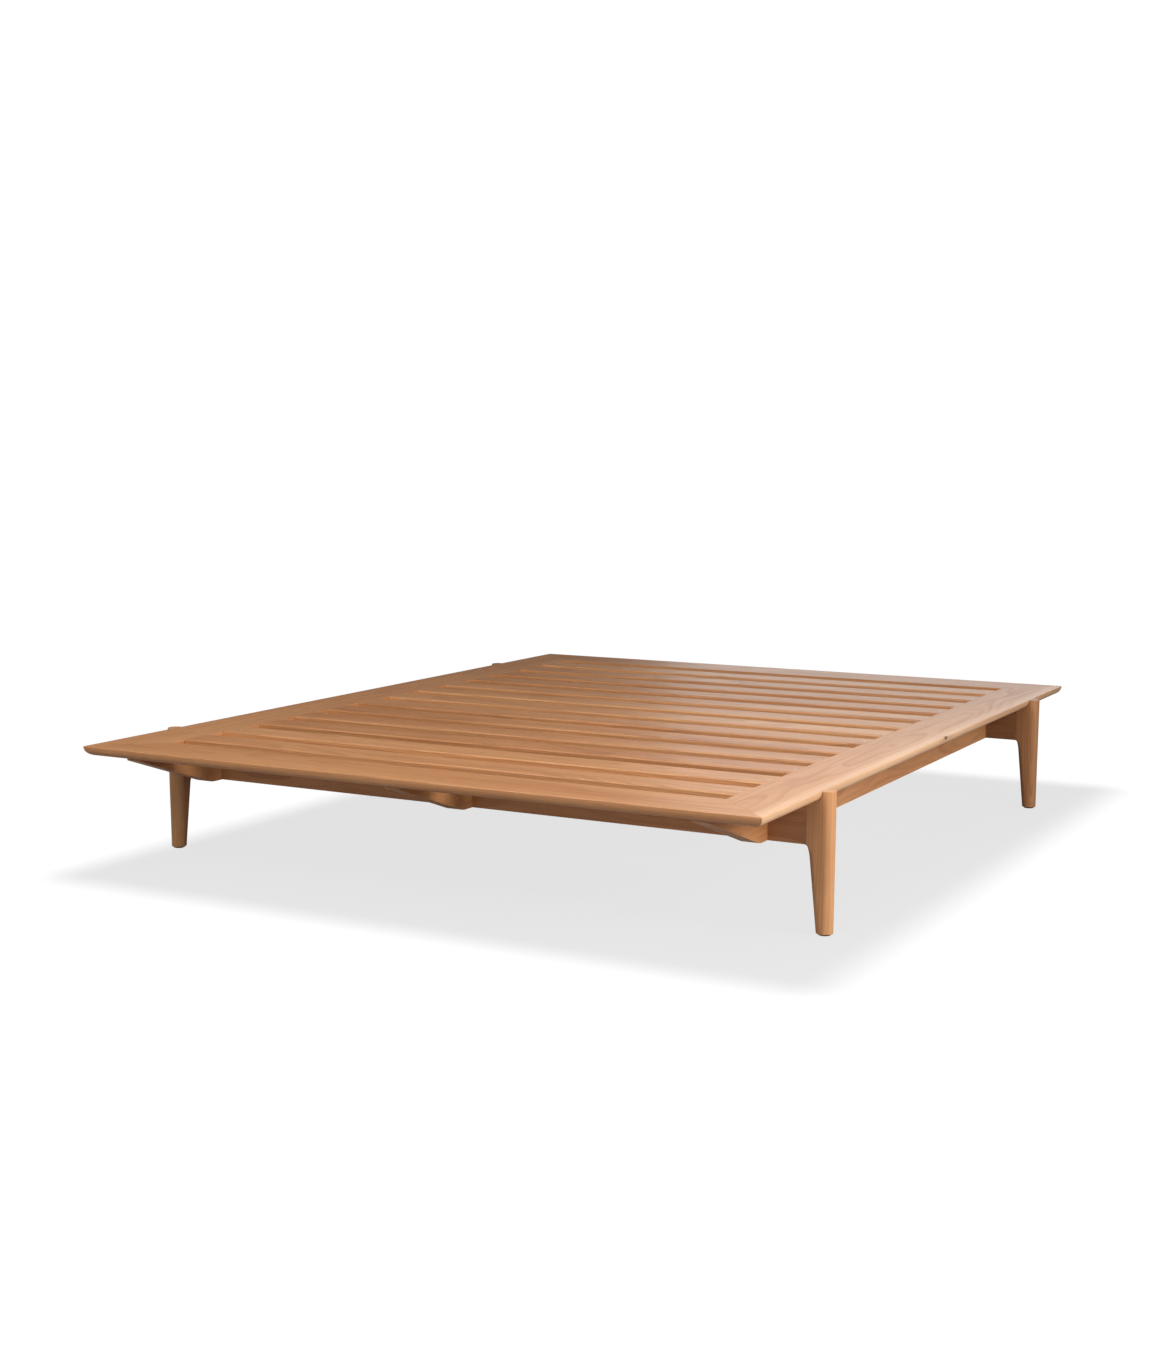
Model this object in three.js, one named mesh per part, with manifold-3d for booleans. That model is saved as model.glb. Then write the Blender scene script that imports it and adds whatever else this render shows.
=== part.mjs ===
// Wooden platform bed frame with a wide mitred deck border on a low timber underframe.
//
// Units are millimetres. +Z is up, +Y points to the head of the bed, +X to the right side as seen
// by someone who stands at the foot. The origin is on the floor under the middle of the bed.

import * as THREE from "three";
import { mergeVertices } from "three/addons/utils/BufferGeometryUtils.js";
import Module from "manifold-3d";

const wasm = await Module();
wasm.setup();

// ---------------------------------------------------------------- driving dimensions

const GAP = 0.3; // clearance between two pieces that touch on the real bed
const OVERSHOOT = 5; // how far a cutting body runs past the face that it opens

const DECK_WIDTH = 1680;
const DECK_LENGTH = 2126;
const DECK_TOP = 296;
const DECK_THICKNESS = 22;
const DECK_ARRIS = 1.5; // small chamfer along the deck's upper edge
const DECK_CORNER_RADIUS = 1.5; // in plan, at the outer edge
const DECK_CORNER_SPREAD = 0.15; // growth of that radius per millimetre inside the outer edge
const BORDER_WIDTH = 135; // width of the four mitred deck boards

const TENON_THICKNESS = 9; // loose tenon inside each mitre
const TENON_WIDTH = 44;
const TENON_LENGTH = 52;

const SLAT_COUNT = 13;
const SLAT_WIDTH = 85;
const SLAT_EDGE_RADIUS = 4;

const RAIL_THICKNESS = 38;
const RAIL_INSET = 116; // from the deck's long edge to a side rail's outer face
const UNDERFRAME_BOTTOM = 185;
const RAIL_END_SETBACK = 18; // from the deck's short edge to a rail's tip
const RAIL_TAPER_START = 260; // from the deck's short edge to where a rail starts to taper
const RAIL_TIP_HEIGHT = 3.5;

const BEAM_THICKNESS = 38;
const BEAM_SETBACK = 316.5; // from the deck's short edge to a cross beam's centre line
const BEAM_TENON_THICKNESS = 12;
const BEAM_TENON_HEIGHT = 55;
const BEAM_TENON_LENGTH = 28;
const BEAM_TENON_BOTTOM = 203;

const LEG_JOINT_INSET = 33; // from the deck's long edge to the joint of leg and cross beam
const LEG_THICKNESS_TOP = 38;
const LEG_THICKNESS_FOOT = 35;
const LEG_OUTER_TOP = 22.4; // how far the leg stands outside the deck's long edge, at its top
const LEG_OUTER_FOOT = 20.2; // and at the floor
const LEG_INNER_FOOT = 14.8; // how far it reaches inside that edge, at the floor
const LEG_INNER_SLOPE = 0.086; // growth of that reach per millimetre of height
const LEG_FILLET = 6.5; // between the leg's inner edge and the cross beam's underside
const LEG_EASING = 1.5;
const LEG_TAPER_TOP = 150; // height from which the leg keeps its full thickness
const LEG_KNEE = 166; // height from which its inner side turns square more quickly
const LEG_KNEE_ROUNDNESS = 0.62; // rounding left at that height, as a share of full rounding
const LEG_BLOCK_ROUNDNESS = 0.06; // and above the cross beam's underside
const COPE_GAP = 0.9; // shadow gap between the leg and the deck's rounded edge

const GLIDE_RADIUS = 13;
const GLIDE_HEIGHT = 2.7;
const GLIDE_NAIL_RADIUS = 1.3;
const GLIDE_NAIL_TOP = 18;
const GLIDE_EDGE = 1;

const BOLT_RADIUS = 4;
const BOLT_HEAD_RADIUS = 8.5;
const BOLT_HEAD_HEIGHT = 2.4;
const BOLT_HEAD_RECESS = 6;
const BOLT_TOP = 249;
const HEX_KEY_ACROSS_FLATS = 5;
const HEX_KEY_DEPTH = 4.5;
const COUNTERBORE_RADIUS = 10;
const INSERT_RADIUS = 6;
const INSERT_HEIGHT = 20;
const INSERT_BORE_SPARE = 4; // depth of the insert's bore past the insert

const SCREW_RADIUS = 2.2;
const SCREW_HEAD_RADIUS = 4.6;
const SCREW_HEAD_HEIGHT = 2.6;
const SCREW_TIP = 289; // height that every deck screw reaches inside the deck boards
const SCREW_POINT = 3;
const SCREW_HEAD_CLEARANCE = 1;
const SIDE_SCREW_HEAD_TOP = 232;
const END_SCREW_HEAD_TOP = 258;
const SIDE_SCREW_SPACING = 480;

const ROUND_SEGMENTS = 12; // facets round a bolt, insert, screw or glide

// ---------------------------------------------------------------- derived dimensions

const DECK_BOTTOM = DECK_TOP - DECK_THICKNESS;
const DECK_EDGE_RADIUS = DECK_THICKNESS - DECK_ARRIS; // quarter round under the deck's edge
const HALF_WIDTH = DECK_WIDTH / 2;
const HALF_LENGTH = DECK_LENGTH / 2;
const OPENING_HALF_WIDTH = HALF_WIDTH - BORDER_WIDTH;
const OPENING_HALF_LENGTH = HALF_LENGTH - BORDER_WIDTH;
const UNDERFRAME_TOP = DECK_BOTTOM - GAP;
const LAP_HEIGHT = (UNDERFRAME_BOTTOM + UNDERFRAME_TOP) / 2;
const RAIL_X = HALF_WIDTH - RAIL_INSET - RAIL_THICKNESS / 2;
const BEAM_Y = HALF_LENGTH - BEAM_SETBACK;
const BEAM_HALF_LENGTH = HALF_WIDTH - LEG_JOINT_INSET - GAP;
const LEG_BOTTOM = GLIDE_HEIGHT + GAP;
const GLIDE_OFFSET = (LEG_OUTER_FOOT - LEG_INNER_FOOT) / 2; // outwards from the deck's long edge
const END_SCREW_Y = HALF_LENGTH - BORDER_WIDTH / 2;
const SIDE_SCREW_X = (OPENING_HALF_WIDTH + HALF_WIDTH - RAIL_INSET) / 2;

const RAIL_POSITIONS = [
  { name: "left", x: -RAIL_X },
  { name: "centre", x: 0 },
  { name: "right", x: RAIL_X },
];
const BEAM_POSITIONS = [
  { name: "foot", y: -BEAM_Y, side: -1 },
  { name: "head", y: BEAM_Y, side: 1 },
];

// ---------------------------------------------------------------- materials

function material(color, roughness, metalness) {
  return new THREE.MeshStandardMaterial({ color, roughness, metalness });
}

const cherry = material(0xb57a4c, 0.48, 0);
const cherryDark = material(0xa46a40, 0.5, 0);
const slatWood = material(0xc99a68, 0.55, 0);
const beech = material(0xd2ab7c, 0.6, 0);
const zincSteel = material(0x9a9a96, 0.38, 1);
const brass = material(0xb08d4a, 0.4, 1);
const nylon = material(0x57493c, 0.6, 0);

// ---------------------------------------------------------------- solids

// A closed geometry as a manifold solid.
function solid(geometry) {
  geometry.deleteAttribute("normal");
  geometry.deleteAttribute("uv");
  const merged = mergeVertices(geometry, 1e-4);
  const vertProperties = new Float32Array(merged.getAttribute("position").array);
  const triVerts = new Uint32Array(merged.getIndex().array);
  return new wasm.Manifold(new wasm.Mesh({ numProp: 3, vertProperties, triVerts }));
}

// A manifold solid as a geometry.
function geometryOf(manifold) {
  const mesh = manifold.getMesh();
  const geometry = new THREE.BufferGeometry();
  const positions = new Float32Array(mesh.vertProperties);
  geometry.setAttribute("position", new THREE.BufferAttribute(positions, 3));
  geometry.setIndex(Array.from(mesh.triVerts));
  geometry.computeVertexNormals();
  return geometry;
}

function box(xRange, yRange, zRange) {
  const geometry = new THREE.BoxGeometry(
    xRange[1] - xRange[0],
    yRange[1] - yRange[0],
    zRange[1] - zRange[0],
  );
  geometry.translate(
    (xRange[0] + xRange[1]) / 2,
    (yRange[0] + yRange[1]) / 2,
    (zRange[0] + zRange[1]) / 2,
  );
  return solid(geometry);
}

// A plan outline raised from one height to another.
function prismZ(shape, bottom, top, curveSegments = 4) {
  const options = { depth: top - bottom, bevelEnabled: false, curveSegments };
  const geometry = new THREE.ExtrudeGeometry(shape, options);
  geometry.translate(0, 0, bottom);
  return solid(geometry);
}

// A front outline, drawn in X and Z, with its thickness centred on Y = 0.
function prismY(shape, thickness, curveSegments = 4) {
  const options = { depth: thickness, bevelEnabled: false, curveSegments };
  const geometry = new THREE.ExtrudeGeometry(shape, options);
  geometry.translate(0, 0, -thickness / 2);
  geometry.rotateX(Math.PI / 2);
  return solid(geometry);
}

// A side outline, drawn in Y and Z, with its thickness centred on X = 0.
function prismX(shape, thickness, curveSegments = 4) {
  const options = { depth: thickness, bevelEnabled: false, curveSegments };
  const geometry = new THREE.ExtrudeGeometry(shape, options);
  geometry.translate(0, 0, -thickness / 2);
  geometry.rotateX(Math.PI / 2);
  geometry.rotateZ(Math.PI / 2);
  return solid(geometry);
}

// A turned body about the Z axis, from [radius, height] pairs that start and end on the axis.
function turned(profile, x = 0, y = 0) {
  const points = profile.map(([radius, height]) => new THREE.Vector2(radius, height));
  const geometry = new THREE.LatheGeometry(points, ROUND_SEGMENTS);
  geometry.rotateX(Math.PI / 2);
  geometry.translate(x, y, 0);
  return solid(geometry);
}

// A body skinned over closed loops of equal point count, bottom loop first.
function loft(loops) {
  const count = loops[0].length;
  const positions = loops.flat(2);
  const index = [];
  for (let level = 0; level + 1 < loops.length; level += 1) {
    for (let i = 0; i < count; i += 1) {
      const a = level * count + i;
      const b = level * count + ((i + 1) % count);
      index.push(a, b, b + count, a, b + count, a + count);
    }
  }
  const top = (loops.length - 1) * count;
  for (let i = 1; i + 1 < count; i += 1) {
    index.push(0, i + 1, i);
    index.push(top, top + i, top + i + 1);
  }
  const geometry = new THREE.BufferGeometry();
  geometry.setAttribute("position", new THREE.Float32BufferAttribute(positions, 3));
  geometry.setIndex(index);
  return solid(geometry);
}

// A horizontal rectangle with rounded corners, counter-clockwise, at one height. The two radii
// are for the corners at the low and the high end of X.
function roundedLoop(xRange, yRange, radii, segments, height) {
  const corners = [
    { x: xRange[0], y: yRange[0], sx: 1, sy: 1, radius: radii[0], start: Math.PI },
    { x: xRange[1], y: yRange[0], sx: -1, sy: 1, radius: radii[1], start: 1.5 * Math.PI },
    { x: xRange[1], y: yRange[1], sx: -1, sy: -1, radius: radii[1], start: 0 },
    { x: xRange[0], y: yRange[1], sx: 1, sy: -1, radius: radii[0], start: Math.PI / 2 },
  ];
  return corners.flatMap((corner) => {
    const centreX = corner.x + corner.sx * corner.radius;
    const centreY = corner.y + corner.sy * corner.radius;
    return Array.from({ length: segments + 1 }, (_, step) => {
      const angle = corner.start + (step / segments) * (Math.PI / 2);
      const x = centreX + corner.radius * Math.cos(angle);
      const y = centreY + corner.radius * Math.sin(angle);
      return [x, y, height];
    });
  });
}

const group = new THREE.Group();

// Puts one finished piece into the group.
function place(name, body, finish, position = [0, 0, 0], turn = 0) {
  const mesh = new THREE.Mesh(geometryOf(body), finish);
  mesh.name = name;
  mesh.position.set(...position);
  mesh.rotation.z = turn;
  group.add(mesh);
}

// ---------------------------------------------------------------- deck screws and their holes

// Pan-head wood screw that points up, with the top of its head at headTop.
function deckScrew(x, y, headTop) {
  const profile = [
    [0, headTop - SCREW_HEAD_HEIGHT],
    [SCREW_HEAD_RADIUS, headTop - SCREW_HEAD_HEIGHT],
    [SCREW_HEAD_RADIUS, headTop],
    [SCREW_RADIUS, headTop],
    [SCREW_RADIUS, SCREW_TIP - SCREW_POINT],
    [0, SCREW_TIP],
  ];
  return turned(profile, x, y);
}

// Counterbore and pilot hole for that screw, cut from below the underframe.
function deckScrewHole(x, y, headTop) {
  const profile = [
    [0, UNDERFRAME_BOTTOM - OVERSHOOT],
    [SCREW_HEAD_RADIUS + SCREW_HEAD_CLEARANCE, UNDERFRAME_BOTTOM - OVERSHOOT],
    [SCREW_HEAD_RADIUS + SCREW_HEAD_CLEARANCE, headTop + GAP],
    [SCREW_RADIUS + GAP, headTop + GAP],
    [SCREW_RADIUS + GAP, SCREW_TIP + GAP],
    [0, SCREW_TIP + GAP],
  ];
  return turned(profile, x, y);
}

const endScrews = BEAM_POSITIONS.flatMap((end) =>
  RAIL_POSITIONS.map((rail) => ({
    name: `end_screw_${end.name}_${rail.name}`,
    x: rail.x,
    y: end.side * END_SCREW_Y,
    headTop: END_SCREW_HEAD_TOP,
  })),
);

const sideScrews = [-1, 1].flatMap((side) =>
  [-1, 0, 1].map((step) => ({
    name: `side_screw_${side < 0 ? "left" : "right"}_${step + 2}`,
    x: side * SIDE_SCREW_X,
    y: step * SIDE_SCREW_SPACING,
    headTop: SIDE_SCREW_HEAD_TOP,
  })),
);

const deckScrews = [...endScrews, ...sideScrews];

function withScrewHoles(body, screws) {
  return screws.reduce(
    (left, screw) => left.subtract(deckScrewHole(screw.x, screw.y, screw.headTop)),
    body,
  );
}

// ---------------------------------------------------------------- deck boards

// The whole deck's outer form: quarter round below, small chamfer above.
function deckForm() {
  const arcSteps = 6;
  const levels = Array.from({ length: arcSteps + 1 }, (_, step) => {
    const angle = (step / arcSteps) * (Math.PI / 2);
    return {
      height: DECK_BOTTOM + DECK_EDGE_RADIUS * (1 - Math.cos(angle)),
      inset: DECK_EDGE_RADIUS * (1 - Math.sin(angle)),
    };
  });
  levels.push({ height: DECK_TOP, inset: DECK_ARRIS });
  return loft(
    levels.map(({ height, inset }) => {
      const radius = DECK_CORNER_RADIUS + DECK_CORNER_SPREAD * inset;
      const xRange = [inset - HALF_WIDTH, HALF_WIDTH - inset];
      const yRange = [inset - HALF_LENGTH, HALF_LENGTH - inset];
      return roundedLoop(xRange, yRange, [radius, radius], 3, height);
    }),
  );
}

// Plan of one border board between its two mitre cuts, for the side that lies at +X.
function mitredPlan(openingHalf, alongHalf) {
  const clearance = (GAP / 2) * Math.SQRT2;
  const reach = BORDER_WIDTH + OVERSHOOT;
  const near = alongHalf - clearance;
  const shape = new THREE.Shape();
  shape.moveTo(openingHalf, -near);
  shape.lineTo(openingHalf + reach, -near - reach);
  shape.lineTo(openingHalf + reach, near + reach);
  shape.lineTo(openingHalf, near);
  return shape;
}

// Loose tenon across one mitre, with half-round edges; grow adds clearance for its mortise.
function mitreTenon(sideX, sideY, grow = 0) {
  const width = TENON_WIDTH + 2 * grow;
  const length = TENON_LENGTH + 2 * grow;
  const thickness = TENON_THICKNESS + 2 * grow;
  const radius = thickness / 2;
  const shape = new THREE.Shape();
  shape.moveTo(radius - width / 2, -radius);
  shape.lineTo(width / 2 - radius, -radius);
  shape.absarc(width / 2 - radius, 0, radius, -Math.PI / 2, Math.PI / 2, false);
  shape.lineTo(radius - width / 2, radius);
  shape.absarc(radius - width / 2, 0, radius, Math.PI / 2, 1.5 * Math.PI, false);
  const centre = [
    sideX * (HALF_WIDTH - BORDER_WIDTH / 2),
    sideY * (HALF_LENGTH - BORDER_WIDTH / 2),
    DECK_TOP - DECK_THICKNESS / 2,
  ];
  return prismY(shape, length).rotate([0, 0, 45 * sideX * sideY]).translate(centre);
}

const corners = BEAM_POSITIONS.flatMap((end) => [
  { name: `${end.name}_left`, x: -1, y: end.side },
  { name: `${end.name}_right`, x: 1, y: end.side },
]);

function deckBoard(plan) {
  const blank = deckForm().intersect(plan);
  const mortised = corners.reduce(
    (left, corner) => left.subtract(mitreTenon(corner.x, corner.y, GAP)),
    blank,
  );
  return withScrewHoles(mortised, deckScrews);
}

function sidePlan() {
  const shape = mitredPlan(OPENING_HALF_WIDTH, OPENING_HALF_LENGTH);
  return prismZ(shape, DECK_BOTTOM - OVERSHOOT, DECK_TOP + OVERSHOOT);
}

function endPlan() {
  const shape = mitredPlan(OPENING_HALF_LENGTH, OPENING_HALF_WIDTH);
  return prismZ(shape, DECK_BOTTOM - OVERSHOOT, DECK_TOP + OVERSHOOT);
}

place("right_deck_board", deckBoard(sidePlan()), cherry);
place("left_deck_board", deckBoard(sidePlan().rotate([0, 0, 180])), cherry);
place("head_deck_board", deckBoard(endPlan().rotate([0, 0, 90])), cherry);
place("foot_deck_board", deckBoard(endPlan().rotate([0, 0, -90])), cherry);

corners.forEach((corner) => {
  place(`mitre_tenon_${corner.name}`, mitreTenon(corner.x, corner.y), beech);
});

// ---------------------------------------------------------------- slats

// Mattress slat with rounded upper edges; it lies across the bed on the three rails.
function slat() {
  const half = SLAT_WIDTH / 2;
  const radius = SLAT_EDGE_RADIUS;
  const shape = new THREE.Shape();
  shape.moveTo(-half, DECK_BOTTOM);
  shape.lineTo(half, DECK_BOTTOM);
  shape.lineTo(half, DECK_TOP - radius);
  shape.absarc(half - radius, DECK_TOP - radius, radius, 0, Math.PI / 2, false);
  shape.lineTo(radius - half, DECK_TOP);
  shape.absarc(radius - half, DECK_TOP - radius, radius, Math.PI / 2, Math.PI, false);
  return prismX(shape, 2 * (OPENING_HALF_WIDTH - GAP), 2);
}

const slatPitch = (2 * OPENING_HALF_LENGTH + SLAT_WIDTH) / (SLAT_COUNT + 1);
for (let i = 1; i <= SLAT_COUNT; i += 1) {
  const y = (i - (SLAT_COUNT + 1) / 2) * slatPitch;
  place(`slat_${String(i).padStart(2, "0")}`, slat(), slatWood, [0, y, 0]);
}

// ---------------------------------------------------------------- long rails

// Side view of a long rail: level underside that rises in a straight taper to each end.
function railOutline() {
  const tipY = HALF_LENGTH - RAIL_END_SETBACK;
  const taperY = HALF_LENGTH - RAIL_TAPER_START;
  const tipZ = UNDERFRAME_TOP - RAIL_TIP_HEIGHT;
  const slope = (tipZ - UNDERFRAME_BOTTOM) / (tipY - taperY);
  const easing = 10;
  const shape = new THREE.Shape();
  shape.moveTo(-taperY + easing, UNDERFRAME_BOTTOM);
  shape.lineTo(taperY - easing, UNDERFRAME_BOTTOM);
  shape.quadraticCurveTo(
    taperY,
    UNDERFRAME_BOTTOM,
    taperY + easing,
    UNDERFRAME_BOTTOM + slope * easing,
  );
  shape.lineTo(tipY, tipZ);
  shape.lineTo(tipY, UNDERFRAME_TOP);
  shape.lineTo(-tipY, UNDERFRAME_TOP);
  shape.lineTo(-tipY, tipZ);
  shape.lineTo(-taperY - easing, UNDERFRAME_BOTTOM + slope * easing);
  shape.quadraticCurveTo(
    -taperY,
    UNDERFRAME_BOTTOM,
    -taperY + easing,
    UNDERFRAME_BOTTOM,
  );
  return shape;
}

// The lower half of a rail is cut away where it drops over a cross beam, and bored for an insert.
function lapInRail(y) {
  const halfX = RAIL_THICKNESS;
  const halfY = BEAM_THICKNESS / 2 + GAP;
  const roof = LAP_HEIGHT + GAP / 2;
  const bore = turned(
    [
      [0, roof - OVERSHOOT],
      [INSERT_RADIUS + GAP, roof - OVERSHOOT],
      [INSERT_RADIUS + GAP, roof + INSERT_HEIGHT + INSERT_BORE_SPARE],
      [0, roof + INSERT_HEIGHT + INSERT_BORE_SPARE],
    ],
    0,
    y,
  );
  const notch = box(
    [-halfX, halfX],
    [y - halfY, y + halfY],
    [UNDERFRAME_BOTTOM - OVERSHOOT, roof],
  );
  return notch.add(bore);
}

function rail(x) {
  const blank = prismX(railOutline(), RAIL_THICKNESS, 3);
  const lapped = BEAM_POSITIONS.reduce((left, beam) => left.subtract(lapInRail(beam.y)), blank);
  const screws = deckScrews.filter((screw) => Math.abs(screw.x - x) < RAIL_THICKNESS / 2);
  return withScrewHoles(lapped.translate([x, 0, 0]), screws);
}

RAIL_POSITIONS.forEach(({ name, x }) => {
  place(`${name}_rail`, rail(x), cherry);
});

// ---------------------------------------------------------------- cross beams

// Where the leg's inner edge meets the fillet, measured outwards from the bed's centre line.
const filletStartZ = UNDERFRAME_BOTTOM - LEG_FILLET;
const filletCentreX =
  HALF_WIDTH - LEG_INNER_FOOT - LEG_INNER_SLOPE * filletStartZ - LEG_FILLET;

// Front view of a cross beam, with the tail of the leg's fillet at each end of its underside.
function beamOutline() {
  const end = BEAM_HALF_LENGTH;
  const endAngle = Math.acos((end - filletCentreX) / LEG_FILLET);
  const shape = new THREE.Shape();
  shape.moveTo(-filletCentreX, UNDERFRAME_BOTTOM);
  shape.lineTo(filletCentreX, UNDERFRAME_BOTTOM);
  shape.absarc(filletCentreX, filletStartZ, LEG_FILLET, Math.PI / 2, endAngle, true);
  shape.lineTo(end, UNDERFRAME_TOP);
  shape.lineTo(-end, UNDERFRAME_TOP);
  shape.absarc(-filletCentreX, filletStartZ, LEG_FILLET, Math.PI - endAngle, Math.PI / 2, true);
  return shape;
}

// Tenon at one end of a cross beam; grow adds clearance for its mortise.
function beamTenon(side, grow = 0) {
  const root = BEAM_HALF_LENGTH - OVERSHOOT;
  const tip = BEAM_HALF_LENGTH + BEAM_TENON_LENGTH + grow;
  const half = BEAM_TENON_THICKNESS / 2 + grow;
  const low = BEAM_TENON_BOTTOM - grow;
  const high = BEAM_TENON_BOTTOM + BEAM_TENON_HEIGHT + grow;
  const xRange = side > 0 ? [root, tip] : [-tip, -root];
  return box(xRange, [-half, half], [low, high]);
}

// The upper half of a beam is cut away under each rail; a bolt passes up through what is left.
function lapInBeam(x) {
  const halfX = RAIL_THICKNESS / 2 + GAP;
  const floor = LAP_HEIGHT - GAP / 2;
  const boltHole = turned(
    [
      [0, UNDERFRAME_BOTTOM - OVERSHOOT],
      [COUNTERBORE_RADIUS, UNDERFRAME_BOTTOM - OVERSHOOT],
      [COUNTERBORE_RADIUS, UNDERFRAME_BOTTOM + BOLT_HEAD_RECESS],
      [BOLT_RADIUS + GAP, UNDERFRAME_BOTTOM + BOLT_HEAD_RECESS],
      [BOLT_RADIUS + GAP, floor + OVERSHOOT],
      [0, floor + OVERSHOOT],
    ],
    x,
    0,
  );
  const notch = box(
    [x - halfX, x + halfX],
    [-BEAM_THICKNESS, BEAM_THICKNESS],
    [floor, UNDERFRAME_TOP + OVERSHOOT],
  );
  return notch.add(boltHole);
}

function crossBeam() {
  const blank = prismY(beamOutline(), BEAM_THICKNESS);
  const tenoned = blank.add(beamTenon(1)).add(beamTenon(-1));
  return RAIL_POSITIONS.reduce((left, { x }) => left.subtract(lapInBeam(x)), tenoned);
}

BEAM_POSITIONS.forEach(({ name, y }) => {
  place(`${name}_cross_beam`, crossBeam(), cherryDark, [0, y, 0]);
});

// ---------------------------------------------------------------- lap bolts and inserts

// Wide flat-head connector bolt with a hex socket in its head.
function lapBolt() {
  const headTop = UNDERFRAME_BOTTOM + BOLT_HEAD_RECESS - GAP;
  const headBottom = headTop - BOLT_HEAD_HEIGHT;
  const body = turned([
    [0, headBottom],
    [BOLT_HEAD_RADIUS - 1, headBottom],
    [BOLT_HEAD_RADIUS, headBottom + 1],
    [BOLT_HEAD_RADIUS, headTop],
    [BOLT_RADIUS, headTop],
    [BOLT_RADIUS, BOLT_TOP],
    [0, BOLT_TOP],
  ]);
  const hexRadius = HEX_KEY_ACROSS_FLATS / Math.sqrt(3);
  const socket = new THREE.CylinderGeometry(hexRadius, hexRadius, 2 * HEX_KEY_DEPTH, 6);
  socket.rotateX(Math.PI / 2);
  socket.translate(0, 0, headBottom);
  return body.subtract(solid(socket));
}

// Threaded insert, pressed up into the rail from its lap.
function lapInsert() {
  const bottom = LAP_HEIGHT + 1;
  const top = bottom + INSERT_HEIGHT;
  const bore = BOLT_RADIUS + GAP;
  return turned([
    [bore, bottom],
    [INSERT_RADIUS, bottom],
    [INSERT_RADIUS, top],
    [bore, top],
    [bore, bottom],
  ]);
}

BEAM_POSITIONS.forEach((beam) => {
  RAIL_POSITIONS.forEach((lap) => {
    const spot = [lap.x, beam.y, 0];
    place(`lap_bolt_${beam.name}_${lap.name}`, lapBolt(), zincSteel, spot);
    place(`lap_insert_${beam.name}_${lap.name}`, lapInsert(), brass, spot);
  });
});

deckScrews.forEach((screw) => {
  place(screw.name, deckScrew(screw.x, screw.y, screw.headTop), zincSteel);
});

// ---------------------------------------------------------------- legs

function ramp(low, high, value, from, to) {
  const t = Math.min(Math.max((value - low) / (high - low), 0), 1);
  return from + (to - from) * t;
}

// How far the leg reaches inside the deck's long edge at one height.
function legInner(z) {
  const straight = LEG_INNER_FOOT + LEG_INNER_SLOPE * Math.min(z, filletStartZ);
  const rise = Math.min(Math.max(z - filletStartZ, 0), LEG_FILLET);
  const flare = LEG_FILLET - Math.sqrt(LEG_FILLET ** 2 - rise ** 2);
  return Math.min(straight + flare, LEG_JOINT_INSET);
}

// One horizontal section of the right-hand leg, with X measured from the deck's long edge.
function legSection(z, inset = 0) {
  const thickness =
    LEG_THICKNESS_FOOT +
    (LEG_THICKNESS_TOP - LEG_THICKNESS_FOOT) * Math.min(z / LEG_TAPER_TOP, 1);
  const half = thickness / 2 - inset;
  const outer = LEG_OUTER_FOOT + (LEG_OUTER_TOP - LEG_OUTER_FOOT) * (z / DECK_TOP) - inset;
  const inner = legInner(z) - inset;
  const roundness =
    z < LEG_KNEE
      ? ramp(0, LEG_KNEE, z, 1, LEG_KNEE_ROUNDNESS)
      : ramp(LEG_KNEE, UNDERFRAME_BOTTOM, z, LEG_KNEE_ROUNDNESS, LEG_BLOCK_ROUNDNESS);
  const full = Math.min(half, (outer + inner) / 2) - GAP;
  const innerRadius = Math.max(full * roundness, 2 * GAP);
  return roundedLoop([-inner, outer], [-half, half], [innerRadius, full], 5, z);
}

// Clearance body that copes the leg round the deck's quarter-round edge.
function copeCutter() {
  const radius = DECK_EDGE_RADIUS + COPE_GAP;
  const centreX = -DECK_EDGE_RADIUS;
  const centreZ = DECK_BOTTOM + DECK_EDGE_RADIUS;
  const shape = new THREE.Shape();
  shape.moveTo(centreX, centreZ - radius);
  shape.absarc(centreX, centreZ, radius, -Math.PI / 2, 0, false);
  shape.lineTo(centreX + radius, DECK_TOP + OVERSHOOT);
  shape.lineTo(-2 * LEG_JOINT_INSET, DECK_TOP + OVERSHOOT);
  shape.lineTo(-2 * LEG_JOINT_INSET, centreZ - radius);
  return prismY(shape, 2 * LEG_THICKNESS_TOP, 6);
}

// Leg at the right-hand side of the bed; turned half round, it is a left-hand leg.
function leg() {
  const jointRun = (BEAM_HALF_LENGTH + GAP - filletCentreX) / LEG_FILLET;
  const jointAngle = Math.acos(jointRun);
  const filletAngles = [jointAngle / 3, (2 * jointAngle) / 3, jointAngle, Math.PI / 2];
  const heights = [
    LEG_BOTTOM + LEG_EASING,
    LEG_TAPER_TOP / 2,
    LEG_TAPER_TOP,
    LEG_KNEE,
    (LEG_KNEE + filletStartZ) / 2,
    filletStartZ,
    ...filletAngles.map((angle) => filletStartZ + LEG_FILLET * Math.sin(angle)),
    DECK_TOP - LEG_EASING,
  ];
  const loops = [
    legSection(LEG_BOTTOM, LEG_EASING),
    ...heights.map((z) => legSection(z)),
    legSection(DECK_TOP, LEG_EASING),
  ];
  const mortise = beamTenon(1, GAP).translate([-HALF_WIDTH, 0, 0]);
  const nailHole = turned(
    [
      [0, LEG_BOTTOM - OVERSHOOT],
      [GLIDE_NAIL_RADIUS + GAP, LEG_BOTTOM - OVERSHOOT],
      [GLIDE_NAIL_RADIUS + GAP, GLIDE_NAIL_TOP + GAP],
      [0, GLIDE_NAIL_TOP + GAP],
    ],
    GLIDE_OFFSET,
  );
  return loft(loops).subtract(copeCutter()).subtract(mortise).subtract(nailHole);
}

// ---------------------------------------------------------------- glides

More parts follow.
